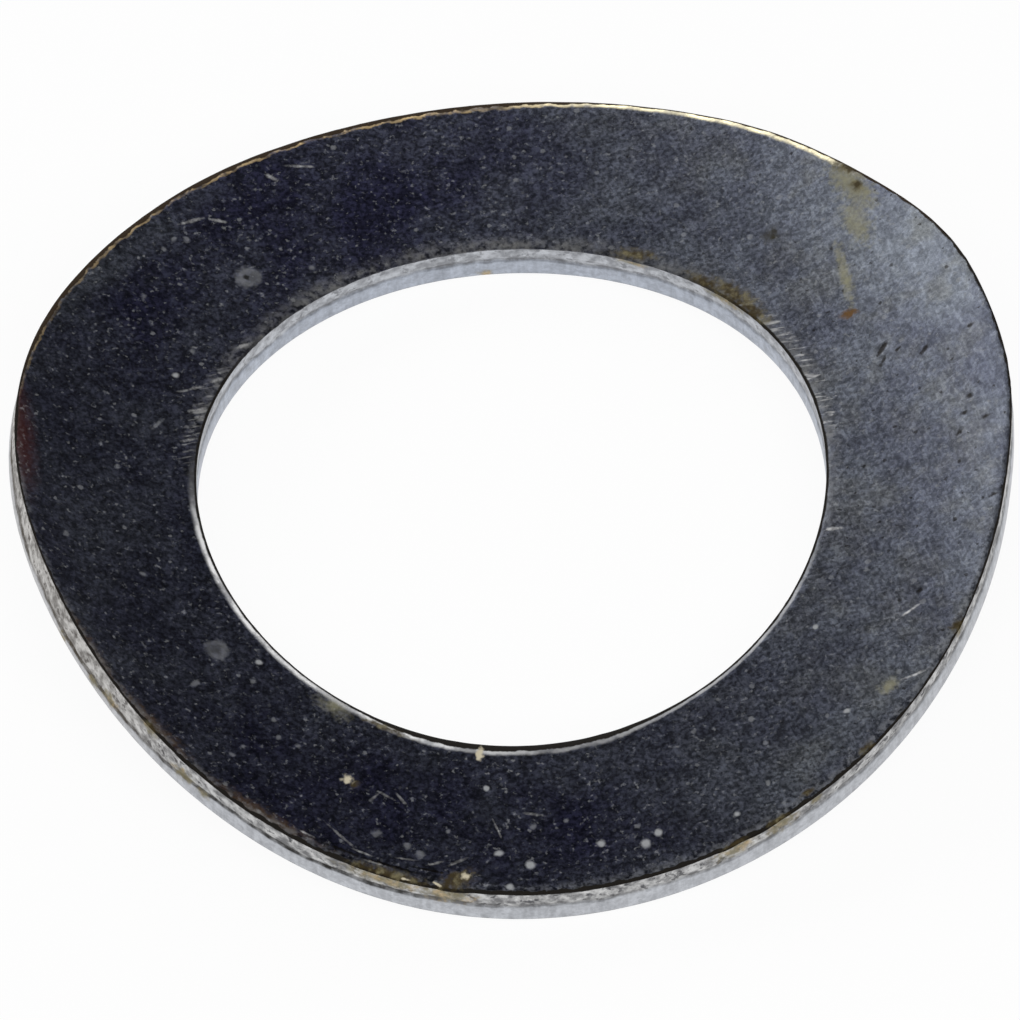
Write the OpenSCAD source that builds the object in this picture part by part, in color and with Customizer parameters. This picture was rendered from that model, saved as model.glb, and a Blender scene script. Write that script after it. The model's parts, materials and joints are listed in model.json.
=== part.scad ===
// Bowed spring washer: a ring blanked from hard steel strip and bowed about one line across its bore.
// It lies belly down, with its two raised ends to the left and right.
// Millimetres, +Z up. The origin is on the bore's axis at the belly's lowest line, and the raised ends
// lie along X.

/* [Ring] */
// Outside diameter, seen from above
outer_d = 36; // [30:0.5:44]
// Bore diameter, seen from above
bore_d = 22.6; // [14:0.1:26]
// Thickness of the strip
strip_t = 1.5; // [0.8:0.1:2]

/* [Bow] */
// Free height, from the belly to the corners of the raised ends before they are rolled
free_h = 5.75; // [4:0.05:7]

/* [Edges] */
// How far the rolled upper edges reach in over the face
roll_w = 0.35; // [0.2:0.05:0.9]
// How far the rolled upper edges reach down the wall
roll_h = 0.06; // [0.04:0.01:0.3]
// How far the broken lower edges reach in over the face
break_w = 0.06; // [0.04:0.01:0.3]
// How far the broken lower edges reach up the wall
break_h = 0.06; // [0.04:0.01:0.3]

/* [Hidden] */
$fn = 240;
outer_r = outer_d / 2;
bore_r = bore_d / 2;
// This belly radius brings the upper corner of each raised end to the free height.
belly_r = (free_h ^ 2 + outer_r ^ 2 - strip_t ^ 2) / (2 * (free_h - strip_t));
hollow_r = belly_r - strip_t;
// How far a cutting shape runs past the face that it cuts
overrun = 1;
// Flats that make up a rolled edge, and stretches round the ring
roll_flats = 3;
stretches = 90;

// Height of a face of the bent strip over a point x away from the bend's lowest line
function face_z(face_r, x) = belly_r - sqrt(face_r ^ 2 - x ^ 2);

// Outline of a rolled edge from the face to the wall, as [inset from the wall, depth under the face]
function edge_outline(w, h, flats) = [
    for (a = [0 : 90 / flats : 90]) [w * (1 - sin(a)), h * (1 - cos(a))]
];

// Section of what an edge loses: its outline, with the first and last flats run on past the metal,
// closed over the corner
function lost_section(w, h, flats) =
    let (line = edge_outline(w, h, flats))
    let (start = 2 * line[0] - line[1])
    let (end = 2 * line[flats] - line[flats - 1])
    [start, for (i = [1 : 1 : flats - 1]) line[i], end, [end[0], -h]];

// The strip after bending: both faces share one axis, so the thickness is even
module bent_strip() {
    translate([0, 0, belly_r])
        rotate([90, 0, 0])
            difference() {
                cylinder(r = belly_r, h = outer_d + 2 * overrun, center = true);
                cylinder(r = hollow_r, h = outer_d + 4 * overrun, center = true);
            }
}

// The upright cut that gives the ring its round plan
module ring_cut() {
    translate([0, 0, -overrun])
        difference() {
            cylinder(r = outer_r, h = free_h + 2 * overrun);
            translate([0, 0, -overrun])
                cylinder(r = bore_r, h = free_h + 4 * overrun);
        }
}

// What one edge loses, swept along its saddle-shaped line. inward is +1 where the metal lies towards
// the bore's axis from the wall and -1 where it lies away from it. down is +1 under the upper face and
// -1 over the lower one.
module edge_cutter(wall_r, inward, face_r, down, section) {
    size = len(section);
    points = [
        for (k = [0 : stretches - 1])
            let (turn = 360 * k / stretches)
            for (p = section)
                let (r = wall_r - inward * p[0])
                let (x = r * cos(turn))
                [x, r * sin(turn), face_z(face_r, x) - down * p[1]]
    ];
    faces = [
        for (k = [0 : stretches - 1])
            let (here = k * size)
            let (next = ((k + 1) % stretches) * size)
            for (i = [0 : size - 1])
                let (j = (i + 1) % size)
                for (f = [[here + i, here + j, next + j], [here + i, next + j, next + i]])
                    inward * down > 0 ? f : [f[0], f[2], f[1]]
    ];
    polyhedron(points = points, faces = faces);
}

module spring_washer() {
    rolled = lost_section(roll_w, roll_h, roll_flats);
    broken = lost_section(break_w, break_h, 1);
    color([0.2, 0.22, 0.25])
        difference() {
            intersection() {
                bent_strip();
                ring_cut();
            }
            edge_cutter(outer_r, 1, hollow_r, 1, rolled);
            edge_cutter(bore_r, -1, hollow_r, 1, rolled);
            edge_cutter(outer_r, 1, belly_r, -1, broken);
            edge_cutter(bore_r, -1, belly_r, -1, broken);
        }
}

spring_washer();
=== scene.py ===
"""Bowed spring washer: the blued, worn ring and the stage it lies on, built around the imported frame."""

import json
import math

import bmesh
import bpy
from bpy.props import FloatProperty, FloatVectorProperty, PointerProperty
from mathutils import Matrix, Quaternion, Vector, noise


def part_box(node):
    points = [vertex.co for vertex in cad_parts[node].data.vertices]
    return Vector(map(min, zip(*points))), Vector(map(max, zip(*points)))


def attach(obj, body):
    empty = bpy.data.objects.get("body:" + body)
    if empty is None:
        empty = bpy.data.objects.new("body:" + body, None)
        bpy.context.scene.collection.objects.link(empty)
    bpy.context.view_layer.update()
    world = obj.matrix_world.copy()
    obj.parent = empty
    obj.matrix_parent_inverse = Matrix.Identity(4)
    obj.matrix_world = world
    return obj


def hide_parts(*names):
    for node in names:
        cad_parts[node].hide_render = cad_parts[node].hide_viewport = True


bl_info = {
    "name": "Bowed spring washer",
    "version": (1, 0, 0),
    "blender": (4, 5, 0),
    "location": "3D View > Sidebar > Washer",
    "description": "Builds a blued and worn spring washer and the stage it lies on",
    "category": "Object",
}

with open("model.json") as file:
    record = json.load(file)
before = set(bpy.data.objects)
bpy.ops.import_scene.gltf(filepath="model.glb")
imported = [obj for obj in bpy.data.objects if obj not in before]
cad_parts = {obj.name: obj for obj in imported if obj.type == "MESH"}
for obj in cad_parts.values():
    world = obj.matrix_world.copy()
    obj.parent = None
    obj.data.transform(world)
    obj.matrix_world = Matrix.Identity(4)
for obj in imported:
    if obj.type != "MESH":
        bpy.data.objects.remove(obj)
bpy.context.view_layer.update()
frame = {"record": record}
NODE = "spring_washer"
NODE_LOW, NODE_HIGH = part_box(NODE)
BORE = frame["record"]["mounts"][0]["dims"]
MM = 0.001

# Spacing of the ring's mesh, in millimetres along the section, and its stretches round the ring, which
# are spun in one sector and copied round
FACE_STEP = 0.15
UNDERSIDE_STEP = 0.32
WALL_STEP = 0.068
ROLL_FLATS = 7
SECTORS = 10
SECTOR_STRETCHES = 75

# The photograph's side, the washer's outer radius in it and the place of the frame's origin, in pixels
PHOTO_PX = 1020
PX_PER_RADIUS = 500.5
ORIGIN_PX = (513.0, 521.7)

# Where the uneven set crosses the even bow, as a share of the squared way to the raised ends
SET_SHARE = 0.907

# The seam of a sheared wall: its height and half width as shares of the wall's height
SEAM_HEIGHT = 0.53
SEAM_HALF_WIDTH = 0.08

# Scale of the walls' patterns up the strip: the torn ones lie a little closer, the drag marks are drawn out
TORN_SCALE = 1.25
DRAG_SCALE = 0.12

# Specular level of what is dull on the ring
DULL_GLOSS = 0.15

# Marks on the upper face. Each is a bearing from +X in degrees, a reach from the bore's axis in
# millimetres, a length and a width in millimetres and the direction of the length in degrees.
PALE_DISCS = [
    (124.3, 13.54, 0.90, 0.90, 0),
    (-153.1, 13.19, 0.85, 0.92, 0),
]
DISC_MIDDLES = [
    (124.0, 13.46, 0.50, 0.50, 0),
    (-153.4, 13.24, 0.50, 0.56, 0),
]
BRIGHT_SPECKS = [
    (-104.3, 13.28, 0.21, 0.22, 0),
    (-102.0, 16.17, 0.30, 0.24, 0),
    (-98.1, 16.68, 0.32, 0.35, 0),
    (-89.0, 16.07, 0.27, 0.30, 0),
    (-83.6, 16.54, 0.32, 0.37, 0),
    (-81.6, 16.25, 0.27, 0.30, 0),
    (-100.6, 17.66, 0.27, 0.26, 0),
    (-42.8, 12.87, 0.18, 0.20, 0),
    (-52.4, 16.12, 0.24, 0.19, 0),
    (-147.9, 12.22, 0.23, 0.24, 0),
    (-71.9, 16.83, 0.21, 0.22, 0),
    (148.6, 12.96, 0.24, 0.21, 20),
]
PALE_SPECKS = [
    (160.1, 12.93, 0.53, 0.14, 45),
    (142.4, 12.94, 0.20, 0.22, 0),
    (114.6, 12.58, 0.20, 0.23, 0),
    (137.9, 15.58, 0.21, 0.22, 0),
    (126.1, 16.19, 0.20, 0.23, 0),
    (127.4, 16.47, 0.18, 0.20, 0),
    (129.6, 16.38, 0.18, 0.20, 0),
    (-149.4, 14.88, 0.42, 0.19, 30),
    (-145.6, 13.03, 0.19, 0.19, 0),
    (-138.2, 16.19, 0.18, 0.20, 0),
    (-132.9, 14.13, 0.17, 0.19, 0),
    (-138.1, 15.61, 0.16, 0.18, 0),
    (-135.9, 14.29, 0.20, 0.20, 0),
    (-175.9, 16.40, 0.20, 0.22, 0),
    (-117.5, 16.24, 0.31, 0.34, 0),
    (-111.7, 16.66, 0.31, 0.32, 0),
    (-113.5, 16.42, 0.26, 0.27, 0),
    (-92.9, 14.83, 0.17, 0.19, 0),
    (-97.5, 14.96, 0.22, 0.24, 0),
    (-61.6, 13.66, 0.20, 0.21, 0),
    (-66.4, 16.35, 0.17, 0.19, 0),
]
SCRATCHES = [
    (123.6, 16.69, 0.73, 0.11, 15),
    (120.6, 16.09, 0.50, 0.11, -20),
    (110.8, 16.82, 0.39, 0.14, -40),
    (106.8, 16.86, 0.68, 0.11, -10),
    (-121.4, 16.94, 0.91, 0.09, -55),
    (-107.1, 16.73, 0.66, 0.10, 20),
    (-97.3, 14.43, 0.49, 0.10, -20),
    (-102.4, 15.05, 0.72, 0.06, -80),
    (-44.3, 17.36, 0.73, 0.09, 5),
    (-36.0, 15.86, 0.70, 0.08, 20),
    (-119.8, 14.72, 0.40, 0.09, 35),
    (-118.4, 14.49, 0.43, 0.09, -40),
    (-125.0, 17.50, 0.50, 0.07, -35),
    (-118.2, 17.30, 0.55, 0.07, -30),
    (-116.4, 17.57, 0.65, 0.07, -25),
    (-113.3, 17.02, 0.60, 0.07, -15),
    (-109.5, 16.91, 0.50, 0.08, 10),
    (-116.2, 14.44, 0.44, 0.09, -65),
]
BORE_TICKS = [
    (145.6, 11.56, 0.50, 0.12, 20),
    (149.5, 12.12, 0.40, 0.10, 15),
    (151.1, 12.47, 0.34, 0.10, 10),
    (154.0, 11.72, 0.65, 0.12, 10),
    (155.5, 11.61, 0.30, 0.10, 10),
    (161.2, 11.68, 0.43, 0.12, 15),
    (135.9, 11.59, 0.49, 0.12, 20),
    (-23.5, 11.83, 0.47, 0.12, -15),
]
CREAM_SPECKS = [
    (-124.3, 14.42, 0.36, 0.38, 0),
    (-106.0, 11.78, 0.50, 0.24, 75),
    (-105.9, 17.30, 0.34, 0.22, 20),
    (-109.0, 17.80, 0.26, 0.10, -40),
    (-112.6, 17.86, 0.26, 0.09, -20),
]
RUST_SPOTS = [
    (-123.2, 14.52, 0.36, 0.30, 20),
    (-123.5, 11.60, 1.70, 0.22, -35),
    (-106.9, 17.53, 1.24, 0.60, 20),
    (-114.5, 17.80, 2.30, 0.36, -25),
    (-146.4, 17.85, 0.56, 0.32, -45),
    (-74.0, 17.92, 0.70, 0.20, 15),
    (-68.4, 17.92, 0.80, 0.22, 20),
    (-55.0, 17.80, 0.56, 0.26, 35),
    (-63.6, 17.65, 0.48, 0.22, 25),
    (-36.7, 17.80, 0.58, 0.34, 50),
    (57.2, 11.62, 1.30, 0.42, -20),
    (36.2, 11.62, 1.90, 0.60, -50),
    (31.0, 11.52, 1.50, 0.46, -60),
    (42.5, 11.50, 1.30, 0.34, -45),
    (36.0, 17.72, 1.00, 0.34, -40),
    (33.4, 17.30, 0.50, 0.36, -60),
]
FRESH_RUST = [
    (17.9, 13.84, 0.52, 0.30, -10),
]
OLIVE_STAINS = [
    (33.9, 17.25, 2.10, 0.74, -70),
    (29.7, 16.29, 1.54, 0.62, -80),
    (24.0, 14.60, 2.10, 0.30, 90),
    (-46.9, 16.78, 0.54, 0.42, 20),
    (-133.0, 11.75, 1.10, 0.60, -45),
]
DARK_STAINS = [
    (38.5, 14.25, 0.55, 0.55, 0),
]
RED_STAINS = [
    (169.0, 17.55, 4.20, 0.80, 85),
]
BROWN_STAINS = [
    (-158.5, 17.72, 5.00, 0.52, -70),
    (-147.1, 17.70, 3.60, 0.62, -55),
    (-131.0, 17.72, 4.20, 0.56, -40),
]
RUBBED_PATCHES = [
    (134.2, 17.10, 7.10, 1.05, 40),
    (21.0, 16.60, 6.50, 3.40, -60),
    (-58.0, 16.60, 6.00, 1.60, 30),
]
DEEP_PATCHES = [
    (100.0, 14.80, 13.0, 6.00, 10),
    (-124.0, 15.40, 10.0, 4.80, -35),
    (141.0, 15.20, 5.00, 2.60, 50),
    (-92.0, 15.60, 8.00, 4.00, 0),
]
PITS = [
    (124.5, 13.58, 0.20, 0.21, 0),
    (8.9, 14.13, 0.52, 0.17, 49),
    (7.0, 14.02, 0.48, 0.14, 60),
    (5.2, 15.44, 0.44, 0.18, 44),
    (7.5, 14.63, 0.24, 0.12, 30),
    (4.9, 17.11, 0.26, 0.17, 0),
    (-4.8, 16.55, 0.24, 0.18, 0),
    (-7.0, 16.28, 0.26, 0.17, 0),
    (-8.6, 17.09, 0.24, 0.18, 0),
    (-9.7, 16.10, 0.24, 0.18, 0),
    (-19.7, 17.53, 0.26, 0.17, 0),
    (-33.1, 15.83, 0.24, 0.18, 0),
]
PIT_DEPTH = 0.02
CRACKS = [
    (-120.5, 17.52, 1.40, 0.12, -30),
    (-114.7, 17.50, 1.60, 0.12, -25),
    (-110.3, 17.28, 1.20, 0.10, -20),
]

# Rust on the walls: a bearing, a height as a share of the wall, a length and a height in millimetres
RIM_RUST = [
    (-163.5, 0.10, 0.50, 0.35),
    (-156.5, 0.23, 0.45, 0.30),
    (-153.2, 0.40, 0.70, 0.45),
    (-146.5, 0.95, 0.80, 0.45),
    (-141.0, 0.50, 0.80, 0.45),
    (-138.0, 0.42, 0.45, 0.30),
    (-115.0, 0.82, 2.40, 0.50),
    (-108.0, 0.78, 1.60, 0.65),
    (-74.0, 0.80, 1.30, 0.60),
    (-68.0, 0.80, 1.10, 0.60),
    (-63.2, 0.85, 0.45, 0.28),
    (-37.0, 0.95, 0.60, 0.45),
]
BORE_RUST = [
    (84.8, 0.10, 0.45, 0.28),
    (57.0, 0.92, 0.90, 0.30),
    (36.5, 0.92, 1.60, 0.36),
]

# Chips along the upper outer edge: a bearing, a length along the edge, a reach in over the face and a depth
CHIPS = [
    (-112.5, 4.4, 0.45, 0.07),
    (-107.3, 1.5, 0.45, 0.10),
    (-141.0, 1.0, 0.30, 0.08),
    (-70.5, 1.3, 0.32, 0.08),
    (-75.0, 0.9, 0.28, 0.07),
    (-36.5, 0.9, 0.28, 0.07),
]

# Slow changes round the ring: a bearing, a half span in degrees and an amount in millimetres. The plan is
# a little out of round, the seam of the walls drops and the upper outer edge leans in.
OUT_OF_ROUND = [
    (34, 20, -0.20),
    (75, 32, 0.12),
    (135, 22, -0.09),
    (-168, 25, -0.08),
    (-5, 14, 0.09),
]
SEAM_DROPS = [
    (-162, 40, 0.24),
]
LEANS = [
    (-175, 55, 0.31),
    (-20, 40, 0.08),
]
ROUND_REACH = 3.0
LEAN_REACH = 1.0


def length_setting(name, description, default):
    """A length that a user can change, in metres."""
    return FloatProperty(name=name, description=description, default=default, precision=6, unit="LENGTH")


def angle_setting(name, description, degrees):
    """An angle that a user can change."""
    return FloatProperty(
        name=name, description=description, default=math.radians(degrees), subtype="ANGLE"
    )


def level_setting(name, description, default):
    """A brightness that a user can change, where 1 is white."""
    return FloatProperty(name=name, description=description, default=default, min=0.0)


def colour_setting(name, description, default):
    """A colour that a user can change."""
    return FloatVectorProperty(
        name=name, description=description, default=default, size=3, min=0.0, max=1.0, subtype="COLOR"
    )


class WasherSizes(bpy.types.PropertyGroup):
    """Sizes of the ring, as in the part's source"""

    outer_d: length_setting(
        "Outside diameter",
        "Outside diameter of the ring, seen from above",
        NODE_HIGH.x - NODE_LOW.x,
    )
    bore_d: length_setting("Bore", "Diameter of the bore, seen from above", 2 * BORE["r_mm"] * MM)
    strip_t: length_setting("Strip", "Thickness of the steel strip", 0.0015)
    free_h: length_setting(
        "Free height",
        "From the belly to the raised ends, before their edges are rolled",
        0.00575,
    )
    roll_w: length_setting(
        "Roll width",
        "How far the rolled upper edges reach in over the face",
        0.00035,
    )
    roll_h: length_setting("Roll depth", "How far the rolled upper edges reach down the wall", 0.00006)
    break_w: length_setting("Edge break", "Width of the broken lower edges", 0.00006)
    set_rise: length_setting(
        "Uneven set",
        "How strongly the bow sags between its middle and its raised ends",
        0.001455,
    )
    set_turn: angle_setting(
        "Direction of the set",
        "Direction across which the uneven set runs, from the line of the raised ends",
        11.6,
    )


class WasherColours(bpy.types.PropertyGroup):
    """Colours of the ring's finishes"""

    oxide_deep: colour_setting("Deep oxide", "Blue-black oxide where it is whole", (0.023, 0.024, 0.052))
    # Thin oxide is also the colour of the painted sheen that lightens the right end of the face.
    oxide_pale: colour_setting(
        "Thin oxide",
        "Blue-grey oxide where it is rubbed thin",
        (0.117, 0.129, 0.152),
    )
    oxide_olive: colour_setting(
        "Olive oxide",
        "Olive-grey oxide in clouds on the right",
        (0.127, 0.131, 0.122),
    )
    bare_steel: colour_setting(
        "Bare steel",
        "Steel of the scratches and the near edge of the bore, to the right",
        (0.66, 0.66, 0.66),
    )
    # Drawn dull and near white, the polished edge is partly a worn, polished edge and partly a painted
    # highlight.
    polished_edge_and_highlight: colour_setting(
        "Polished edge",
        "Polished steel along the near edge of the bore, to the left",
        (0.95, 0.95, 0.95),
    )
    bore_steel: colour_setting(
        "Bore steel",
        "Bluish steel of the lower band of the bore's wall",
        (0.5, 0.54, 0.62),
    )
    smooth_steel: colour_setting(
        "Smooth steel",
        "Bluish steel of the lower band of the walls",
        (0.58, 0.6, 0.64),
    )
    torn_steel: colour_setting(
        "Torn steel",
        "Crumbled upper band of the sheared walls",
        (0.64, 0.64, 0.64),
    )
    torn_dark: colour_setting(
        "Crevices",
        "Crevices of the upper band of the walls",
        (0.07, 0.07, 0.078),
    )
    straw: colour_setting(
        "Straw edge",
        "Yellowed steel along the far rolled edge, to the right",
        (0.8, 0.72, 0.48),
    )
    straw_dark: colour_setting(
        "Brown straw edge",
        "Browned steel along the far rolled edge, and pale rust of the walls",
        (0.5, 0.37, 0.19),
    )
    # The edge line is partly oxide and partly painted shade; its colour also darkens pits, cracks and the
    # seams and crests of the walls.
    edge_dark: colour_setting(
        "Edge line",
        "Brown-black line that runs along the upper edges",
        (0.01, 0.008, 0.006),
    )
    fringe: colour_setting(
        "Fringe",
        "Olive-grey fringe along the edge of the bore",
        (0.185, 0.183, 0.173),
    )
    dust: colour_setting("Pale specks", "Dust and dried specks on the face", (0.38, 0.39, 0.4))
    cream: colour_setting("Cream specks", "Lime-like specks on the face", (0.6, 0.54, 0.4))
    rust: colour_setting("Rust", "Khaki rust of the face, and dark rust of the walls", (0.205, 0.178, 0.098))
    fresh_rust: colour_setting("Fresh rust", "Orange-brown rust in small spots", (0.132, 0.068, 0.021))
    rust_deep: colour_setting("Dark rust", "Dark parts of the rust on the face", (0.044, 0.031, 0.01))
    olive: colour_setting("Oil stain", "Dried oil on the face", (0.31, 0.295, 0.185))
    oil_dark: colour_setting("Dark oil", "Thick dried oil on the face", (0.03, 0.026, 0.014))
    red_brown: colour_setting("Red stain", "Dark red tint near the left end", (0.115, 0.036, 0.034))
    brown: colour_setting("Brown tint", "Brown tint along the outer edge", (0.062, 0.034, 0.013))


class WasherStage(bpy.types.PropertyGroup):
    """Floor, light and camera"""

    floor_colour: colour_setting("Floor", "Colour of the floor", (0.9, 0.9, 0.9))
    floor_white: FloatProperty(
        name="Floor whiteness",
        description="How much of the floor's shade is lifted to white behind the washer",
        default=0.94,
        min=0.0,
        max=1.0,
        subtype="FACTOR",
    )
    room_level: level_setting("Room", "Brightness of the room near the horizon", 0.28)
    ceiling_level: level_setting("Ceiling", "Brightness of the room overhead", 0.09)
    key_level: level_setting("Softbox", "Brightness of the long softbox behind the washer", 3.0)
    fill_level: level_setting("Fill", "Brightness of the soft fill over the viewer's shoulder", 3.4)
    view_turn: angle_setting(
        "View direction",
        "How far the camera stands round from the washer's near side",
        -8.72,
    )
    view_rise: angle_setting("View height", "How steeply the camera looks down", 52.08)
    view_roll: angle_setting("View roll", "How far the camera leans clockwise", 2.07)
    view_distance: length_setting(
        "View distance",
        "Distance from the camera to the middle of the washer",
        1.08,
    )


def in_mm(length):
    """A length in millimetres, clear of the rounding of single precision."""
    return round(length / MM, 4)


def on_plan(bearing, reach):
    """The point of the plan at that bearing, in degrees, and reach."""
    turn = math.radians(bearing)
    return reach * math.cos(turn), reach * math.sin(turn)


def rolled_edge(wall_r, inward, top, width, depth):
    """Points of a rolled edge's quarter ellipse, from just off the face down to the wall."""
    points = []
    for step in range(1, ROLL_FLATS + 1):
        turn = math.pi / 2 * step / ROLL_FLATS
        inset = width * (1 - math.sin(turn))
        points.append((wall_r - inward * inset, top - depth * (1 - math.cos(turn))))
    return points


def section_wire(bm, outer_r, bore_r, top, sizes):
    """Draws the flat strip's section as a closed wire, with rows for the finer shape."""
    roll_w, roll_h = in_mm(sizes.roll_w), in_mm(sizes.roll_h)
    cut = in_mm(sizes.break_w)
    outer_roll = rolled_edge(outer_r, 1, top, roll_w, roll_h)
    bore_roll = rolled_edge(bore_r, -1, top, roll_w, roll_h)
    corners = [
        (bore_r + roll_w, top),
        (outer_r - roll_w, top),
        *outer_roll,
        (outer_r, cut),
        (outer_r - cut, 0.0),
        (bore_r + cut, 0.0),
        (bore_r, cut),
        *reversed(bore_roll),
    ]
    verts = [bm.verts.new((r, 0.0, z)) for r, z in corners]
    for start, end in zip(verts, verts[1:] + verts[:1]):
        bm.edges.new((start, end))
    for run, step in ((is_face, FACE_STEP), (is_underside, UNDERSIDE_STEP), (is_wall, WALL_STEP)):
        edges = [edge for edge in bm.edges if run(*(vert.co for vert in edge.verts))]
        rows = round(edges[0].calc_length() / step)
        bmesh.ops.subdivide_edges(bm, edges=edges, cuts=rows - 1)


def is_face(start, end):
    """A run of the section along the upper face."""
    return start.z == end.z and start.z > 0


def is_underside(start, end):
    """A run of the section along the lower face."""
    return start.z == end.z == 0


def is_wall(start, end):
    """A run of the section along a wall."""
    return start.x == end.x


def spin_round(bm):
    """Spins the section through one sector and copies that sector round the ring."""
    sector = 2 * math.pi / SECTORS
    bmesh.ops.spin(
        bm,
        geom=bm.verts[:] + bm.edges[:],
        cent=(0.0, 0.0, 0.0),
        axis=(0.0, 0.0, 1.0),
        angle=sector,
        steps=SECTOR_STRETCHES,
    )
    first = bm.verts[:] + bm.edges[:] + bm.faces[:]
    for k in range(1, SECTORS):
        copied = bmesh.ops.duplicate(bm, geom=first)["geom"]
        verts = [part for part in copied if isinstance(part, bmesh.types.BMVert)]
        turn = Matrix.Rotation(k * sector, 3, "Z")
        bmesh.ops.rotate(bm, verts=verts, cent=(0.0, 0.0, 0.0), matrix=turn)
    bmesh.ops.remove_doubles(bm, verts=bm.verts[:], dist=0.001)


def swell(bearing, bumps):
    """Sum of the smooth bumps of a list at one bearing."""
    total = 0.0
    for middle, half_span, amount in bumps:
        away = abs((bearing - middle + 180) % 360 - 180)
        if away < half_span:
            total += amount * (0.5 + 0.5 * math.cos(math.pi * away / half_span))
    return total


def shear_relief(spot, tall):
    """How far a sheared wall stands back at a spot, how torn it is and how deep in its seam."""
    line = SEAM_HEIGHT + 0.10 * noise.noise(Vector((spot.x, spot.y, 0.0)) * 0.35)
    line -= swell(math.degrees(math.atan2(spot.y, spot.x)), SEAM_DROPS)
    line += 0.05 * noise.noise(Vector((spot.x, spot.y, 7.0)) * 2.4)
    seam = math.exp(-(((tall - line) / SEAM_HALF_WIDTH) ** 2))
    seam *= 0.75 + 0.45 * noise.noise(Vector((spot.x, spot.y, 3.0)) * 0.8)
    torn = noise.noise(Vector((1.3 * spot.x, 1.3 * spot.y, 4.0 * spot.z)))
    torn += 0.6 * noise.noise(Vector((3.4 * spot.x, 3.4 * spot.y, 9.0 * spot.z)))
    drag = noise.noise(Vector((2.6 * spot.x, 2.6 * spot.y, 0.5 * spot.z)))
    above = min(1.0, max(0.0, 0.5 + (tall - line) / SEAM_HALF_WIDTH))
    back = above * (0.024 + 0.030 * torn) + (1 - above) * (0.005 + 0.004 * drag)
    return back + 0.05 * seam, above, seam


def pit_depth(spot):
    """Depth of the small pits at a spot of the upper face."""
    depth = 0.0
    for bearing, reach, length, width, turn in PITS:
        x, y = on_plan(bearing, reach)
        away_x, away_y = spot.x - x, spot.y - y
        if abs(away_x) > length or abs(away_y) > length:
            continue
        angle = math.radians(turn)
        along = away_x * math.cos(angle) + away_y * math.sin(angle)
        across = away_y * math.cos(angle) - away_x * math.sin(angle)
        share = math.hypot(2 * along / length, 2 * across / width)
        depth = max(depth, PIT_DEPTH * max(0.0, 1 - share * share))
    return depth


def chip_depth(spot, inset):
    """Depth of the chips in the upper outer edge at a spot of the upper face."""
    depth = 0.0
    for bearing, length, width, deep in CHIPS:
        x, y = on_plan(bearing, math.hypot(spot.x, spot.y))
        along = 2 * math.hypot(spot.x - x, spot.y - y) / length
        share = math.hypot(along, inset / width)
        depth = max(depth, deep * max(0.0, 1 - share * share))
    return depth


def edge_shift(spot, tall, from_rim):
    """How far a spot near the outside moves outward, because the ring is worn and not quite round."""
    bearing = math.degrees(math.atan2(spot.y, spot.x))
    shift = swell(bearing, OUT_OF_ROUND) * (1 - from_rim / ROUND_REACH)
    if tall > 0.25 and from_rim < LEAN_REACH:
        height = (tall - 0.25) / 0.75
        shift -= swell(bearing, LEANS) * height * (1 - from_rim / LEAN_REACH) ** 2
    return shift


def face_wear(spot, inset, on_rim, roll_w):
    """How far the upper face is worn down at a spot."""
    wave = 0.006 * noise.noise(Vector((spot.x, spot.y, 0.0)) * 0.45)
    edge = max(0.0, 1 - inset / roll_w)
    nick = 0.03 * edge * edge * abs(noise.noise(Vector((spot.x, spot.y, 11.0)) * 0.9))
    chip = chip_depth(spot, inset) if on_rim and inset < 0.6 else 0.0
    return nick + pit_depth(spot) + chip - wave


def shape_ring(bm, outer_r, bore_r, top, sizes):
    """Gives the flat ring its wear and bows it, and notes on its points what the finishes need."""
    inset_note = bm.verts.layers.float.new("inset")
    tall_note = bm.verts.layers.float.new("tall")
    torn_note = bm.verts.layers.float.new("torn")
    seam_note = bm.verts.layers.float.new("seam")
    free_h = in_mm(sizes.free_h)
    belly_r = (free_h**2 + outer_r**2 - top**2) / (2 * (free_h - top))
    roll_w = in_mm(sizes.roll_w)
    set_rise = in_mm(sizes.set_rise)
    middle_r = (outer_r + bore_r) / 2
    for vert in bm.verts:
        spot = vert.co.copy()
        r = math.hypot(spot.x, spot.y)
        tall = spot.z / top
        inset = max(0.0, min(outer_r - r, r - bore_r))
        vert[inset_note] = inset
        vert[tall_note] = tall
        outward = Vector((spot.x, spot.y, 0.0)) / r
        if inset < 0.001:
            back, torn, seam = shear_relief(spot, tall)
            vert[torn_note] = torn
            vert[seam_note] = seam
            vert.co -= outward * (back if r > middle_r else -back)
        elif tall > 0.5:
            vert.co.z -= face_wear(spot, inset, r > middle_r, roll_w)
        if outer_r - r < ROUND_REACH:
            vert.co += outward * edge_shift(spot, tall, max(0.0, outer_r - r))
        x = vert.co.x
        sweep = (x * math.cos(sizes.set_turn) + vert.co.y * math.sin(sizes.set_turn)) / outer_r
        sag = set_rise * sweep**2 * (sweep**2 - SET_SHARE)
        vert.co.z = belly_r - math.sqrt((belly_r - vert.co.z) ** 2 - x * x) + sag
    lowest = min(vert.co.z for vert in bm.verts)
    bmesh.ops.translate(bm, verts=bm.verts[:], vec=(0.0, 0.0, -lowest))


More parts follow.
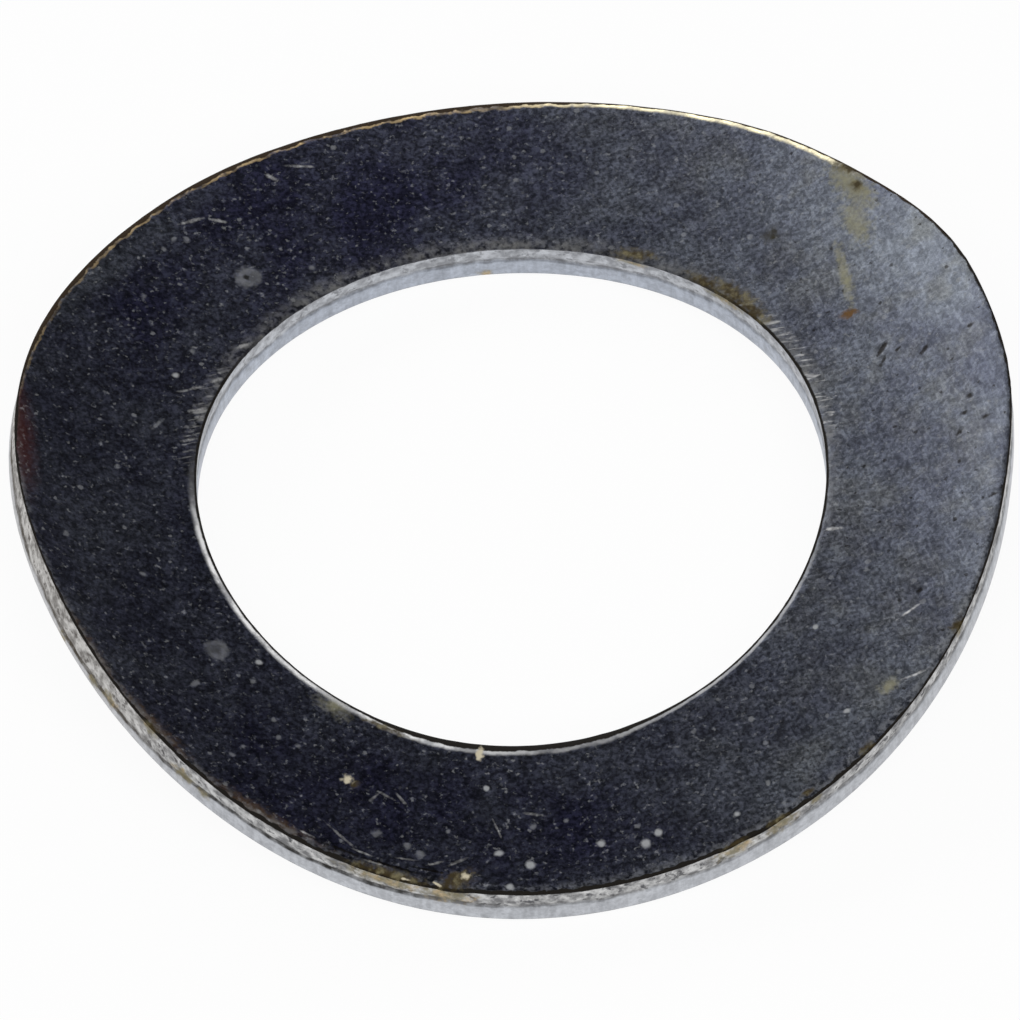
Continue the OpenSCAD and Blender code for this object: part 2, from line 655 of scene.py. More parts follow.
class Wiring:
    """Adds nodes to one shader tree and joins them."""

    def __init__(self, tree):
        self.tree = tree

    def put(self, socket, value):
        """Joins a socket to another, or sets its own value."""
        if isinstance(value, bpy.types.NodeSocket):
            self.tree.links.new(value, socket)
        else:
            socket.default_value = value

    def node(self, kind, sockets=None, **settings):
        """A new node with these settings and socket values."""
        made = self.tree.nodes.new(kind)
        for name, value in settings.items():
            setattr(made, name, value)
        for key, value in (sockets or {}).items():
            self.put(made.inputs[key], value)
        return made

    def math(self, operation, first, second=0.0):
        """The result of a sum with one or two numbers."""
        return self.node("ShaderNodeMath", {0: first, 1: second}, operation=operation).outputs[0]

    def vector(self, operation, first, second, third=(0.0, 0.0, 0.0)):
        """The result of a sum with two vectors, and a third where it takes one."""
        sockets = {0: first, 1: second, 2: third}
        return self.node("ShaderNodeVectorMath", sockets, operation=operation).outputs[0]

    def length(self, vector):
        """The length of a vector."""
        return self.node("ShaderNodeVectorMath", {0: vector}, operation="LENGTH").outputs["Value"]

    def over(self, mask, under, top):
        """A colour laid over another where the mask is 1."""
        made = self.node("ShaderNodeMix", {0: mask, 6: under, 7: top}, data_type="RGBA")
        return made.outputs[2]

    def between(self, mask, low, high):
        """A number that goes from low to high with the mask."""
        made = self.node("ShaderNodeMix", {0: mask, 2: low, 3: high}, data_type="FLOAT")
        return made.outputs[0]

    def ramp(self, value, start, end):
        """0 at start and 1 at end, with soft ends."""
        sockets = {"Value": value, "From Min": start, "From Max": end}
        made = self.node("ShaderNodeMapRange", sockets, interpolation_type="SMOOTHSTEP")
        return made.outputs[0]

    def note(self, name):
        """A number that the mesh carries on its points."""
        return self.node("ShaderNodeAttribute", attribute_name=name).outputs["Fac"]

    def effect(self, tree, **values):
        """The output of a shared effect with these inputs."""
        made = self.tree.nodes.new("ShaderNodeGroup")
        made.node_tree = tree
        for name, value in values.items():
            self.put(made.inputs[name.replace("_", " ").capitalize()], value)
        return made.outputs[0]

    def product(self, first, *others):
        """Several numbers multiplied."""
        for other in others:
            first = self.math("MULTIPLY", first, other)
        return first

    def total(self, first, *others):
        """Several numbers added."""
        for other in others:
            first = self.math("ADD", first, other)
        return first

    def highest(self, first, *others):
        """The highest of several numbers."""
        for other in others:
            first = self.math("MAXIMUM", first, other)
        return first

    def lowest(self, first, *others):
        """The lowest of several numbers."""
        for other in others:
            first = self.math("MINIMUM", first, other)
        return first


def colour(value):
    """A colour property as the four numbers of a colour socket."""
    return (value[0], value[1], value[2], 1.0)


def new_effect(name, vectors, numbers):
    """An empty shared effect with those inputs and one output, and its wiring and input sockets."""
    tree = bpy.data.node_groups.new(name, "ShaderNodeTree")
    for socket in vectors:
        tree.interface.new_socket(socket, in_out="INPUT", socket_type="NodeSocketVector")
    for socket in numbers:
        tree.interface.new_socket(socket, in_out="INPUT", socket_type="NodeSocketFloat")
    tree.interface.new_socket("Value", in_out="OUTPUT", socket_type="NodeSocketFloat")
    wiring = Wiring(tree)
    inputs = wiring.node("NodeGroupInput").outputs
    return tree, wiring, inputs


def close_effect(wiring, value):
    """Joins a value to the effect's output."""
    wiring.node("NodeGroupOutput", {0: value})


def make_patches():
    """Soft cloudy patches of a given size."""
    tree, wiring, inputs = new_effect("Patches", ["Place"], ["Size", "Low", "High"])
    scale = wiring.math("DIVIDE", 1.0, inputs["Size"])
    sockets = {"Vector": inputs["Place"], "Scale": scale, "Detail": 3.0, "Roughness": 0.6}
    cloud = wiring.node("ShaderNodeTexNoise", sockets)
    close_effect(wiring, wiring.ramp(cloud.outputs[0], inputs["Low"], inputs["High"]))
    return tree


def make_specks():
    """Round specks strewn over the plan, each of its own size."""
    tree, wiring, inputs = new_effect("Specks", ["Place"], ["Spacing", "Size", "Share"])
    scale = wiring.math("DIVIDE", 1.0, inputs["Spacing"])
    shaken = wiring.node(
        "ShaderNodeTexNoise",
        {"Vector": inputs["Place"], "Scale": 7.0, "Detail": 1.0},
        noise_dimensions="2D",
    )
    shift = wiring.vector("SUBTRACT", shaken.outputs["Color"], (0.5, 0.5, 0.5))
    shift = wiring.vector("MULTIPLY", shift, (0.12, 0.12, 0.0))
    place = wiring.vector("ADD", inputs["Place"], shift)
    cells = wiring.node(
        "ShaderNodeTexVoronoi", {"Vector": place, "Scale": scale}, voronoi_dimensions="2D"
    )
    draw = wiring.node("ShaderNodeSeparateColor", {0: cells.outputs["Color"]}).outputs
    away = wiring.math("MULTIPLY", cells.outputs["Distance"], inputs["Spacing"])
    size = wiring.math("MULTIPLY", inputs["Size"], wiring.math("ADD", draw[1], 0.35))
    core = wiring.math("MULTIPLY", size, 0.45)
    kept = wiring.math("LESS_THAN", draw[0], inputs["Share"])
    close_effect(wiring, wiring.math("MULTIPLY", kept, wiring.ramp(away, size, core)))
    return tree


def make_streaks():
    """Fine lines that run in one direction."""
    tree, wiring, inputs = new_effect(
        "Streaks", ["Place"], ["Turn", "Length", "Width", "Low", "High"]
    )
    back = wiring.math("MULTIPLY", inputs["Turn"], -1.0)
    turned = wiring.node(
        "ShaderNodeVectorRotate", {"Vector": inputs["Place"], "Angle": back}, rotation_type="Z_AXIS"
    )
    sizes = wiring.node(
        "ShaderNodeCombineXYZ", {0: inputs["Length"], 1: inputs["Width"], 2: inputs["Length"]}
    )
    place = wiring.vector("DIVIDE", turned.outputs[0], sizes.outputs[0])
    sockets = {"Vector": place, "Scale": 1.0, "Detail": 2.0, "Roughness": 0.6, "Distortion": 0.3}
    lines = wiring.node("ShaderNodeTexNoise", sockets)
    close_effect(wiring, wiring.ramp(lines.outputs[0], inputs["Low"], inputs["High"]))
    return tree


def make_mark():
    """Squared way from the middle of one oval mark: 0 at the middle and 1 at the edge."""
    tree, wiring, inputs = new_effect("Mark", ["Place", "Scale", "Shift"], [])
    place = wiring.vector("MULTIPLY_ADD", inputs["Place"], inputs["Scale"], inputs["Shift"])
    squared = wiring.node("ShaderNodeVectorMath", {0: place, 1: place}, operation="DOT_PRODUCT")
    close_effect(wiring, squared.outputs["Value"])
    return tree


class Surface(Wiring):
    """Wiring of one of the ring's finishes, with the places that its effects read, in millimetres."""

    def __init__(self, name, effects):
        self.material = bpy.data.materials.new(name)
        self.material.use_nodes = True
        super().__init__(self.material.node_tree)
        self.shader = self.material.node_tree.nodes["Principled BSDF"]
        self.shader.inputs["Specular IOR Level"].default_value = DULL_GLOSS
        self.effects = effects
        where = self.node("ShaderNodeTexCoord").outputs["Object"]
        to_mm = (1 / MM, 1 / MM, 1 / MM)
        self.place = self.node("ShaderNodeMapping", {"Vector": where, "Scale": to_mm}).outputs[0]
        self.turned_places = {0: self.place}
        self.x, self.y, _ = self.node("ShaderNodeSeparateXYZ", {0: self.place}).outputs
        flat = self.vector("MULTIPLY", self.place, (1.0, 1.0, 0.0))
        self.reach = self.length(flat)
        self.inset = self.note("inset")
        self.tall = self.note("tall")
        self.on_top = self.ramp(self.tall, 0.4, 0.6)
        uneven = self.node("ShaderNodeTexNoise", {"Vector": self.place, "Scale": 5.0, "Detail": 2.0})
        self.ragged = self.math("SUBTRACT", uneven.outputs[0], 0.5)
        self.very_ragged = self.math("MULTIPLY", self.ragged, 2.4)
        self.outside = self.ramp(self.reach, 14.5, 14.8)
        # Rises towards the right end, where it lightens the oxide with a painted sheen as well as thinner
        # oxide.
        self.right = self.ramp(self.x, -6.0, 15.0)

    def patches(self, size, low, high, place=None):
        """Soft cloudy patches."""
        place = self.place if place is None else place
        return self.effect(self.effects["patches"], place=place, size=size, low=low, high=high)

    def specks(self, spacing, size, share):
        """Strewn round specks."""
        specks = self.effects["specks"]
        return self.effect(specks, place=self.place, spacing=spacing, size=size, share=share)

    def turned(self, turn):
        """The place turned back about the bore's axis, by an angle in degrees."""
        if turn not in self.turned_places:
            sockets = {"Vector": self.place, "Angle": math.radians(-turn)}
            made = self.node("ShaderNodeVectorRotate", sockets, rotation_type="Z_AXIS")
            self.turned_places[turn] = made.outputs[0]
        return self.turned_places[turn]

    def from_mark(self, place, centre, scale):
        """Squared way from the middle of a mark, where scale is 2 over each of the mark's sides."""
        shift = [-middle * share for middle, share in zip(centre, scale)]
        return self.effect(self.effects["mark"], place=place, scale=scale, shift=shift)

    def nearest(self, ways, soft, ragged):
        """One mask for the squared ways from several marks, with a soft and ragged edge."""
        way = self.math("SQRT", self.lowest(*ways))
        return self.ramp(self.math("ADD", way, ragged), 1 + soft, 1 - soft)

    def marks(self, marks, soft, ragged, strength):
        """One mask for a list of marks of the upper face."""
        ways = []
        for bearing, reach, length, width, turn in marks:
            centre = (*on_plan(bearing - turn, reach), 0.0)
            ways.append(self.from_mark(self.turned(turn), centre, (2 / length, 2 / width, 0.0)))
        return self.product(self.nearest(ways, soft, ragged), self.on_top, strength)

    def wall_marks(self, marks, wall_r, place, strip_t):
        """One mask for a list of marks of a wall, at a place whose height is measured up the strip."""
        ways = []
        for bearing, tall, length, height in marks:
            centre = (*on_plan(bearing, wall_r), tall * strip_t)
            ways.append(self.from_mark(place, centre, (2 / length, 2 / length, 2 / height)))
        return self.nearest(ways, 0.75, self.very_ragged)

    def scaled(self, tone, level):
        """A colour made lighter or darker."""
        return self.node("ShaderNodeVectorMath", {0: tone, "Scale": level}, operation="SCALE").outputs[0]

    def rust_tone(self, pale, deep):
        """Pale rust with dark parts."""
        dark = self.patches(size=0.50, low=0.28, high=0.54)
        return self.over(dark, colour(pale), colour(deep))

    def roughen(self, height, strength, distance):
        """A bump of that height, in millimetres, under the whole finish."""
        sockets = {"Height": height, "Strength": strength, "Distance": distance * MM}
        self.put(self.shader.inputs["Normal"], self.node("ShaderNodeBump", sockets).outputs[0])


def oxide_tone(face, colours, grain, rub):
    """Oxide film: whole and blue-black to the left, grey and streaked to the right, where the lightening is
    partly thin oxide and partly painted sheen.
    """
    cloud = face.patches(size=2.6, low=0.35, high=0.68)
    # The lightening towards the right end, from the rubbed streaks and the right-hand share of the thin
    # oxide, is partly thinner oxide and partly painted sheen.
    streaked = face.product(face.math("SUBTRACT", rub, 0.4), face.right, 0.25)
    deep = face.marks(DEEP_PATCHES, 0.8, face.ragged, -0.36)
    worn = face.marks(RUBBED_PATCHES, 0.7, face.ragged, 0.44)
    thin_oxide_and_sheen = face.total(0.25, face.product(cloud, 0.35), face.product(face.right, 0.55), deep, worn, streaked)
    tint = face.product(face.patches(size=1.7, low=0.46, high=0.62), face.right, 0.45)
    pale = face.over(tint, colour(colours.oxide_pale), colour(colours.oxide_olive))
    tone = face.over(face.product(thin_oxide_and_sheen, 0.72), colour(colours.oxide_deep), pale)
    blotch = face.patches(size=0.50, low=0.34, high=0.66)
    fine = face.between(grain, face.between(face.right, 0.58, 0.72), face.between(face.right, 1.40, 1.30))
    coarse = face.between(blotch, face.between(face.right, 0.66, 0.80), face.between(face.right, 1.34, 1.22))
    brushed = face.between(rub, 1.0, face.between(face.right, 1.03, 1.16))
    return face.scaled(tone, face.product(fine, coarse, brushed, 0.95))


def stained(face, colours, tone):
    """Dried oil and brown and red tints over the oxide, and the mask of what is dull there."""
    broken = face.patches(size=0.60, low=0.25, high=0.65)
    olive = face.marks(OLIVE_STAINS, 0.95, face.very_ragged, 0.7)
    olive = face.product(olive, face.between(broken, 0.45, 1.0))
    tone = face.over(olive, tone, colour(colours.olive))
    oily = face.product(face.marks(DARK_STAINS, 0.7, face.very_ragged, 0.95), face.between(broken, 0.4, 1.0))
    tone = face.over(oily, tone, colour(colours.oil_dark))
    browned = face.marks(BROWN_STAINS, 0.8, face.very_ragged, 0.8)
    tone = face.over(browned, tone, colour(colours.brown))
    tone = face.over(face.marks(RED_STAINS, 0.9, face.ragged, 0.85), tone, colour(colours.red_brown))
    return tone, face.highest(olive, oily, face.product(browned, 0.8))


def dust_mask(face):
    """Dust, dried specks and two pale discs."""
    fine = face.product(face.specks(spacing=0.40, size=0.07, share=0.30), 0.22)
    large = face.product(face.specks(spacing=1.30, size=0.11, share=0.40), 0.65)
    flakes = face.product(face.patches(size=0.21, low=0.58, high=0.74), 0.75)
    strewn = face.product(face.highest(fine, large, flakes), face.between(face.right, 0.60, 0.32))
    discs = face.marks(PALE_DISCS, 0.3, face.ragged, 0.36)
    discs = face.math("SUBTRACT", discs, face.marks(DISC_MIDDLES, 0.5, face.ragged, 0.14))
    pale = face.marks(PALE_SPECKS, 0.6, face.very_ragged, 0.38)
    bright = face.marks(BRIGHT_SPECKS, 0.5, face.ragged, 0.85)
    return face.highest(face.product(strewn, face.on_top), discs, pale, bright)


def edge_lines(face, colours, tone):
    """Dark lines along the upper edges, partly oxide and partly painted shade, worn lines and fringes beside
    them, with a painted highlight at the near edge of the bore, and the mask of what is dull.
    """
    far = face.ramp(face.y, 3.0, 10.0)
    slanted = face.total(face.y, face.product(face.x, 0.35))
    near = face.ramp(slanted, 0.0, -6.0)
    back = face.ramp(slanted, -3.0, 4.0)
    bore = face.math("SUBTRACT", 1.0, face.outside)
    ends = face.ramp(face.math("ABSOLUTE", face.x), 7.0, 9.5)
    jag = face.patches(size=0.55, low=0.30, high=0.70)
    broken = face.patches(size=0.9, low=0.40, high=0.60)
    speckled = face.patches(size=0.30, low=0.34, high=0.64)

    # The dark edge line is widest along the near edge of the bore and faint along its far edge: painted
    # shade as well as oxide.
    middle = face.product(near, face.ramp(face.x, -8.5, -4.0), face.ramp(face.x, 5.0, 1.0))
    far_w = face.between(face.ramp(face.x, 2.0, 8.0), 0.19, 0.07)
    far_w = face.between(face.ramp(face.x, 13.0, 14.5), far_w, 0.09)
    near_w = face.between(face.ramp(slanted, 1.0, -3.0), 0.08, 0.16)
    outer_w = face.between(far, face.between(face.ramp(face.x, 8.0, 13.0), near_w, 0.09), far_w)
    dark_w = face.between(face.outside, face.between(middle, 0.10, 0.28), outer_w)
    uneven = face.product(face.math("SUBTRACT", jag, 0.5), face.between(face.outside, 0.3, 0.7))
    dark_w = face.product(dark_w, face.total(1.0, uneven))

    fringe = face.product(bore, back, face.ramp(face.inset, 0.85, 0.05), face.between(face.right, 0.8, 0.5))
    fringe = face.product(fringe, face.between(speckled, 0.15, 1.0), face.between(broken, 0.6, 1.0))
    tone = face.over(fringe, tone, colour(colours.fringe))
    near_fringe = face.product(face.outside, near, face.ramp(face.inset, 0.55, 0.20), speckled, 0.28)
    tone = face.over(near_fringe, tone, colour(colours.dust))

    beside = face.math("SUBTRACT", face.inset, dark_w)
    worn_w = face.between(face.ramp(face.x, 0.0, 5.0), 0.27, 0.16)
    worn_w = face.between(face.outside, worn_w, face.between(face.right, 0.13, 0.24))
    whole = face.between(face.outside, 0.5, face.between(face.right, 0.1, 0.5))
    worn = face.product(face.ramp(beside, worn_w, 0.08), face.between(broken, whole, 1.0))
    straw = face.over(face.ramp(face.x, 1.0, 7.0), colour(colours.straw_dark), colour(colours.straw))
    far_worn = face.product(worn, face.outside, far, face.ramp(face.x, 15.0, 13.0))
    tone = face.over(face.product(far_worn, face.between(face.right, 0.75, 1.0)), tone, straw)
    # To the left the worn line along the near edge of the bore is near white and dull: partly polish, partly
    # a painted highlight.
    highlight_side = face.ramp(face.x, 1.0, -7.0)
    steel = face.over(highlight_side, colour(colours.bare_steel), colour(colours.polished_edge_and_highlight))
    bore_wear_and_highlight = face.product(worn, bore, near, face.between(highlight_side, 0.55, 1.0))
    tone = face.over(bore_wear_and_highlight, tone, steel)
    # Near-black, dull line along the upper edges: partly oxide, partly painted shade.
    line = face.ramp(beside, 0.03, -0.02)
    faint = face.product(bore, back, face.math("SUBTRACT", 1.0, ends))
    line = face.product(line, face.between(faint, 1.0, 0.12))
    browned = face.product(face.outside, far, 0.4)
    dark = face.over(browned, colour(colours.edge_dark), colour(colours.brown))
    scuffs_and_highlight = face.highest(face.product(bore_wear_and_highlight, face.between(highlight_side, 0.75, 1.0)), fringe, near_fringe)
    return face.over(line, tone, dark), face.highest(line, scuffs_and_highlight)


def bore_ticks(face):
    """Short bright ticks across the upper edge of the bore, at its raised ends."""
    aside = face.math("ABSOLUTE", face.x)
    mirrored = face.node("ShaderNodeCombineXYZ", {0: aside, 1: face.y}).outputs[0]
    lines = face.effect(
        face.effects["streaks"],
        place=mirrored,
        turn=math.radians(-14),
        length=1.0,
        width=0.16,
        low=0.52,
        high=0.68,
    )
    leaning = face.total(face.y, face.product(face.x, 0.13))
    span = face.product(face.ramp(leaning, 0.2, 2.2), face.ramp(face.y, 8.0, 6.0))
    ends = face.product(face.ramp(aside, 7.5, 9.5), span)
    reach = face.total(face.inset, face.product(face.ragged, 1.2))
    return face.product(lines, ends, face.ramp(face.reach, 13.0, 12.8), face.ramp(reach, 0.75, 0.30), 0.6)


def blued_face(colours, effects):
    """Blue-black tempered strip: cloudy oxide with a painted sheen to the right, dust, stains, rust,
    scratches, and worn edges with painted shade and a painted highlight.
    """
    face = Surface("blued_face", effects)
    grain = face.patches(size=0.15, low=0.36, high=0.66)
    rub = face.effect(
        effects["streaks"],
        place=face.place,
        turn=math.radians(102),
        length=0.6,
        width=0.12,
        low=0.40,
        high=0.72,
    )
    tone, dried = stained(face, colours, oxide_tone(face, colours, grain, rub))
    dusty = dust_mask(face)
    tone = face.over(dusty, tone, colour(colours.dust))
    strewn_pits = face.product(face.specks(spacing=0.62, size=0.075, share=0.28), face.right, 0.7)
    pitted = face.highest(strewn_pits, face.marks(PITS + CRACKS, 0.6, face.very_ragged, 0.85))
    tone = face.over(pitted, tone, colour(colours.edge_dark))
    bright = face.marks(SCRATCHES + BORE_TICKS, 0.8, face.very_ragged, 0.80)
    bright = face.highest(face.product(bright, face.between(grain, 0.4, 1.0)), bore_ticks(face))
    tone = face.over(bright, tone, colour(colours.bare_steel))
    tone, edges = edge_lines(face, colours, tone)
    rusted = face.marks(RUST_SPOTS, 0.75, face.very_ragged, 0.95)
    tone = face.over(rusted, tone, face.rust_tone(colours.rust, colours.rust_deep))
    fresh = face.marks(FRESH_RUST, 0.6, face.very_ragged, 0.95)
    tone = face.over(fresh, tone, colour(colours.fresh_rust))
    creamy = face.marks(CREAM_SPECKS, 0.5, face.very_ragged, 1.0)
    tone = face.over(creamy, tone, colour(colours.cream))
    face.put(face.shader.inputs["Base Color"], tone)

    dull = face.highest(dusty, dried, rusted, fresh, creamy, edges)
    face.put(face.shader.inputs["Metallic"], face.math("SUBTRACT", 1.0, dull))
    rough = face.between(dull, face.between(grain, 0.30, 0.38), 0.75)
    face.put(face.shader.inputs["Roughness"], rough)
    face.roughen(face.total(grain, face.product(rub, 0.3)), strength=0.12, distance=0.02)
    return face.material


def sheared_wall(colours, effects, sizes):
    """Sheared steel: a torn, mottled upper band, a dark broken seam and a smooth lower band."""
    wall = Surface("sheared_wall", effects)
    strip_t = in_mm(sizes.strip_t)
    up = wall.product(wall.tall, strip_t)
    on_strip = wall.node("ShaderNodeCombineXYZ", {0: wall.x, 1: wall.y, 2: up}).outputs[0]
    squeezed = wall.vector("MULTIPLY", on_strip, (1.0, 1.0, TORN_SCALE))
    mottle = wall.patches(size=0.46, low=0.34, high=0.68, place=squeezed)
    crumbs = wall.patches(size=0.34, low=0.48, high=0.66, place=squeezed)
    grain = wall.patches(size=0.12, low=0.30, high=0.70, place=squeezed)
    upright = wall.vector("MULTIPLY", on_strip, (1.0, 1.0, DRAG_SCALE))
    drag = wall.patches(size=0.22, low=0.35, high=0.70, place=upright)
    torn = wall.product(wall.note("torn"), wall.between(wall.outside, 0.5, 1.0))

    smooth = wall.over(wall.outside, colour(colours.bore_steel), colour(colours.smooth_steel))
    tone = wall.over(torn, smooth, colour(colours.torn_steel))
    crevices = wall.highest(wall.product(mottle, 0.80), wall.product(crumbs, 0.93))
    streaked = wall.total(wall.product(drag, 0.16), wall.product(grain, 0.14), wall.product(mottle, 0.22))
    streaked = wall.highest(streaked, wall.product(crumbs, 0.35))
    dim = wall.between(torn, streaked, crevices)
    tone = wall.over(dim, tone, colour(colours.torn_dark))
    seam = wall.product(wall.ramp(wall.note("seam"), 0.20, 0.60), wall.between(mottle, 0.6, 1.0))
    rim_seam = wall.between(wall.ramp(wall.x, -9.0, -2.0), 1.0, 0.5)
    seam = wall.product(seam, wall.between(wall.outside, 0.45, rim_seam))
    tone = wall.over(seam, tone, colour(colours.edge_dark))
    warm = wall.product(wall.ramp(wall.x, -13.0, -17.0), wall.outside, 0.09)
    tone = wall.over(warm, tone, colour(colours.straw_dark))
    outer_r, bore_r = in_mm(sizes.outer_d) / 2, in_mm(sizes.bore_d) / 2
    rusted = wall.highest(
        wall.wall_marks(RIM_RUST, outer_r, on_strip, strip_t),
        wall.wall_marks(BORE_RUST, bore_r, on_strip, strip_t),
    )
    rusted = wall.product(rusted, 0.85)
    tone = wall.over(rusted, tone, wall.rust_tone(colours.straw_dark, colours.rust))
    # A dark line along the top of each wall, which carries on the upper edge line: partly oxide, partly
    # painted shade.
    crest_oxide_and_shade = wall.ramp(wall.total(wall.tall, wall.product(wall.ragged, 0.08)), 0.93, 0.97)
    tone = wall.over(wall.product(crest_oxide_and_shade, 0.9), tone, colour(colours.edge_dark))
    wall.put(wall.shader.inputs["Base Color"], tone)

    dull = wall.highest(rusted, seam)
    wall.put(wall.shader.inputs["Metallic"], wall.math("SUBTRACT", 1.0, dull))
    wall.put(wall.shader.inputs["Roughness"], wall.between(torn, 0.36, 0.48))
    bumpy = wall.total(wall.product(mottle, torn), wall.product(grain, 0.3), wall.product(drag, 0.15))
    wall.roughen(bumpy, strength=0.4, distance=0.03)
    return wall.material


class WASHER_OT_ring(bpy.types.Operator):
    """Build the bowed ring with its finishes, in place of the frame's solid"""

    bl_idname = "washer.ring"
    bl_label = "Make the ring"

    def execute(self, context):
        sizes = context.scene.washer_sizes
        outer_r, bore_r = in_mm(sizes.outer_d) / 2, in_mm(sizes.bore_d) / 2
        top = in_mm(sizes.strip_t)
        bm = bmesh.new()
        section_wire(bm, outer_r, bore_r, top, sizes)
        spin_round(bm)
        bmesh.ops.recalc_face_normals(bm, faces=bm.faces[:])
        for face in bm.faces:
            corner_r = [math.hypot(v.co.x, v.co.y) for v in face.verts]
            flat = max(corner_r) - min(corner_r) < 0.001
            face.material_index = 1 if flat else 0
            face.smooth = True
        shape_ring(bm, outer_r, bore_r, top, sizes)
        bmesh.ops.scale(bm, verts=bm.verts[:], vec=(MM, MM, MM))
        mesh = bpy.data.meshes.new("washer_ring")
        bm.to_mesh(mesh)
        bm.free()
        ring = bpy.data.objects.new("washer_ring", mesh)
        context.scene.collection.objects.link(ring)
        effects = {
            "patches": make_patches(),
            "specks": make_specks(),
            "streaks": make_streaks(),
            "mark": make_mark(),
        }
        mesh.materials.append(blued_face(context.scene.washer_colours, effects))
        mesh.materials.append(sheared_wall(context.scene.washer_colours, effects, sizes))
        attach(ring, "root")
        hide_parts(NODE)
        return {"FINISHED"}


def pale_floor(stage):
    """Pale floor that reads as white behind the washer and still takes its shadow."""
    material = bpy.data.materials.new("pale_floor")
    material.use_nodes = True
    nodes = material.node_tree.nodes
    nodes.remove(nodes["Principled BSDF"])
    wiring = Wiring(material.node_tree)
    matt = wiring.node("ShaderNodeBsdfDiffuse", {"Color": colour(stage.floor_colour)})
    path = wiring.node("ShaderNodeLightPath").outputs
    seen = wiring.highest(path["Is Camera Ray"], path["Is Glossy Ray"], path["Is Transmission Ray"])
    white = wiring.node("ShaderNodeEmission", {"Strength": 1.0})
    lift = wiring.product(seen, stage.floor_white)
    mixed = wiring.node("ShaderNodeMixShader", {0: lift, 1: matt.outputs[0], 2: white.outputs[0]})
    wiring.put(nodes["Material Output"].inputs["Surface"], mixed.outputs[0])
    return material


def dim_room(stage):
    """The room's light: even and dim overhead, brighter towards the horizon."""
    world = bpy.data.worlds.new("room")
    world.use_nodes = True
    wiring = Wiring(world.node_tree)
    where = wiring.node("ShaderNodeTexCoord").outputs["Generated"]
    rise = wiring.node("ShaderNodeSeparateXYZ", {0: where}).outputs[2]
    level = wiring.between(wiring.ramp(rise, 0.15, 0.75), stage.room_level, stage.ceiling_level)
    wiring.put(world.node_tree.nodes["Background"].inputs["Strength"], level)
    world.node_tree.nodes["Background"].inputs["Color"].default_value = (1, 1, 1, 1)
    return world


def softbox(scene, name, turn, rise, distance, width, height, level):
    """A rectangular lamp that faces the washer. level is its brightness, where 1 is white."""
    lamp = bpy.data.lights.new(name, "AREA")
    lamp.shape = "RECTANGLE"
    lamp.size, lamp.size_y = width, height
    lamp.energy = level * math.pi * width * height
    holder = bpy.data.objects.new(name, lamp)
    holder.visible_camera = False
    turn, rise = math.radians(turn), math.radians(rise)
    towards = Vector(
        (math.sin(turn) * math.cos(rise), math.cos(turn) * math.cos(rise), math.sin(rise))
    )
    holder.location = towards * distance
    holder.rotation_mode = "QUATERNION"
    holder.rotation_quaternion = towards.to_track_quat("Z", "Y")
    scene.collection.objects.link(holder)


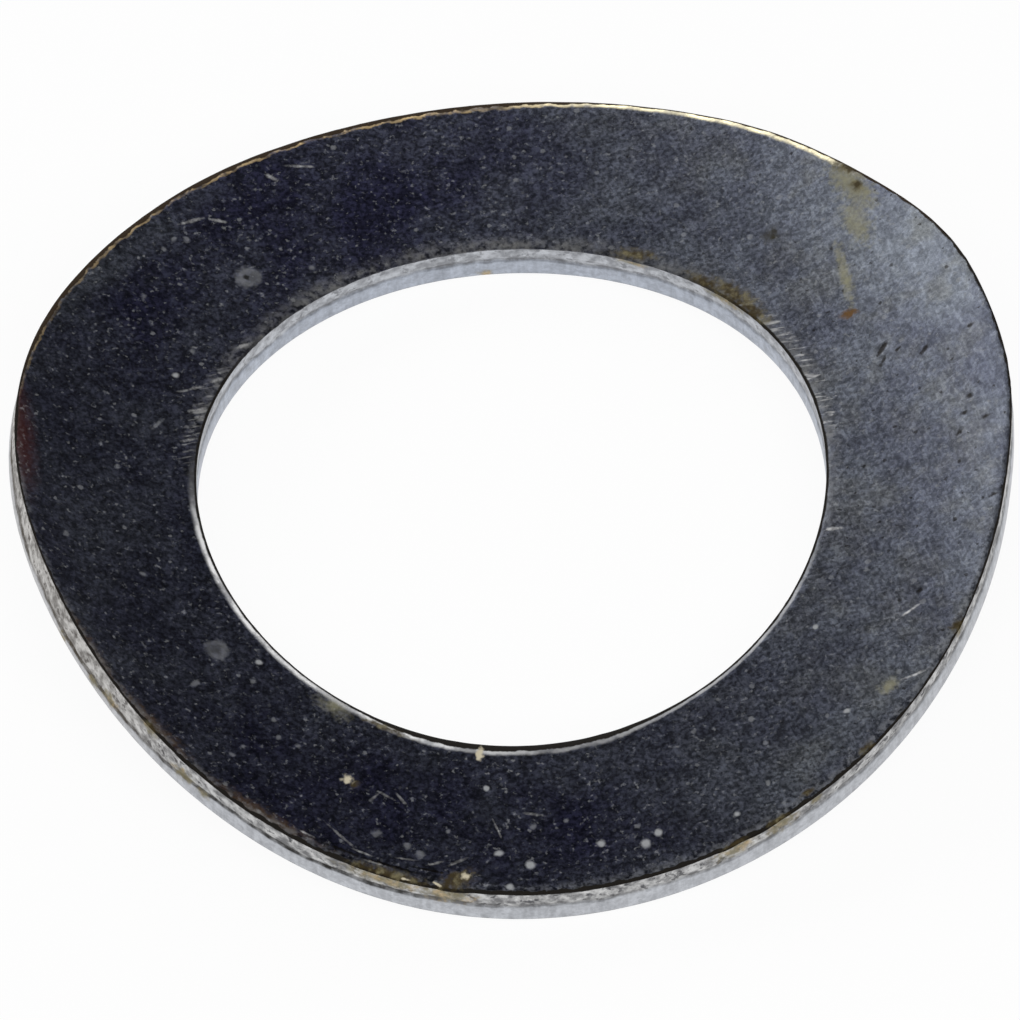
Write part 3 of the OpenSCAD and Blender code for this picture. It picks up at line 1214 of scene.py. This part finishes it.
class WASHER_OT_stage(bpy.types.Operator):
    """Lay the pale floor, hang the soft lights and set the camera"""

    bl_idname = "washer.stage"
    bl_label = "Make the stage"

    def execute(self, context):
        scene = context.scene
        stage = scene.washer_stage
        mesh = bpy.data.meshes.new("floor")
        bm = bmesh.new()
        bmesh.ops.create_grid(bm, x_segments=1, y_segments=1, size=3.0)
        bm.to_mesh(mesh)
        bm.free()
        floor = bpy.data.objects.new("floor", mesh)
        scene.collection.objects.link(floor)
        mesh.materials.append(pale_floor(stage))

        scene.world = dim_room(stage)
        turn = math.degrees(stage.view_turn)
        softbox(
            scene,
            "key_softbox",
            turn=-turn - 28,
            rise=28,
            distance=0.30,
            width=0.50,
            height=0.14,
            level=stage.key_level,
        )
        softbox(
            scene,
            "fill_softbox",
            turn=-turn + 170,
            rise=48,
            distance=0.40,
            width=0.40,
            height=0.30,
            level=stage.fill_level,
        )

        px = scene.washer_sizes.outer_d / 2 / PX_PER_RADIUS
        rise = stage.view_rise
        back = Vector(
            (
                math.sin(stage.view_turn) * math.cos(rise),
                -math.cos(stage.view_turn) * math.cos(rise),
                math.sin(rise),
            )
        )
        facing = (-back).to_track_quat("-Z", "Y") @ Quaternion((0, 0, 1), -stage.view_roll)
        right, up = facing @ Vector((1, 0, 0)), facing @ Vector((0, 1, 0))
        shift_x = (PHOTO_PX / 2 - ORIGIN_PX[0]) * px
        shift_y = (ORIGIN_PX[1] - PHOTO_PX / 2) * px
        lens = bpy.data.cameras.new("camera")
        lens.sensor_width = 36.0
        lens.lens = lens.sensor_width * stage.view_distance / (PHOTO_PX * px)
        lens.clip_end = 10.0
        camera = bpy.data.objects.new("camera", lens)
        camera.rotation_mode = "QUATERNION"
        camera.rotation_quaternion = facing
        camera.location = back * stage.view_distance + right * shift_x + up * shift_y
        scene.collection.objects.link(camera)
        scene.camera = camera
        scene.view_settings.view_transform = "Standard"
        return {"FINISHED"}


class WASHER_PT_panel(bpy.types.Panel):
    """Sizes, colours and steps of the washer"""

    bl_idname = "WASHER_PT_panel"
    bl_label = "Spring washer"
    bl_space_type = "VIEW_3D"
    bl_region_type = "UI"
    bl_category = "Washer"

    def draw(self, context):
        scene = context.scene
        for group in (scene.washer_sizes, scene.washer_colours, scene.washer_stage):
            column = self.layout.column(align=True)
            for name in group.__annotations__:
                column.prop(group, name)
        self.layout.operator(WASHER_OT_ring.bl_idname)
        self.layout.operator(WASHER_OT_stage.bl_idname)


CLASSES = (
    WasherSizes,
    WasherColours,
    WasherStage,
    WASHER_OT_ring,
    WASHER_OT_stage,
    WASHER_PT_panel,
)


def register():
    for kind in CLASSES:
        bpy.utils.register_class(kind)
    bpy.types.Scene.washer_sizes = PointerProperty(type=WasherSizes)
    bpy.types.Scene.washer_colours = PointerProperty(type=WasherColours)
    bpy.types.Scene.washer_stage = PointerProperty(type=WasherStage)


def unregister():
    del bpy.types.Scene.washer_stage
    del bpy.types.Scene.washer_colours
    del bpy.types.Scene.washer_sizes
    for kind in reversed(CLASSES):
        bpy.utils.unregister_class(kind)


def main():
    register()
    bpy.ops.washer.ring()
    bpy.ops.washer.stage()


if __name__ == "__main__":
    main()
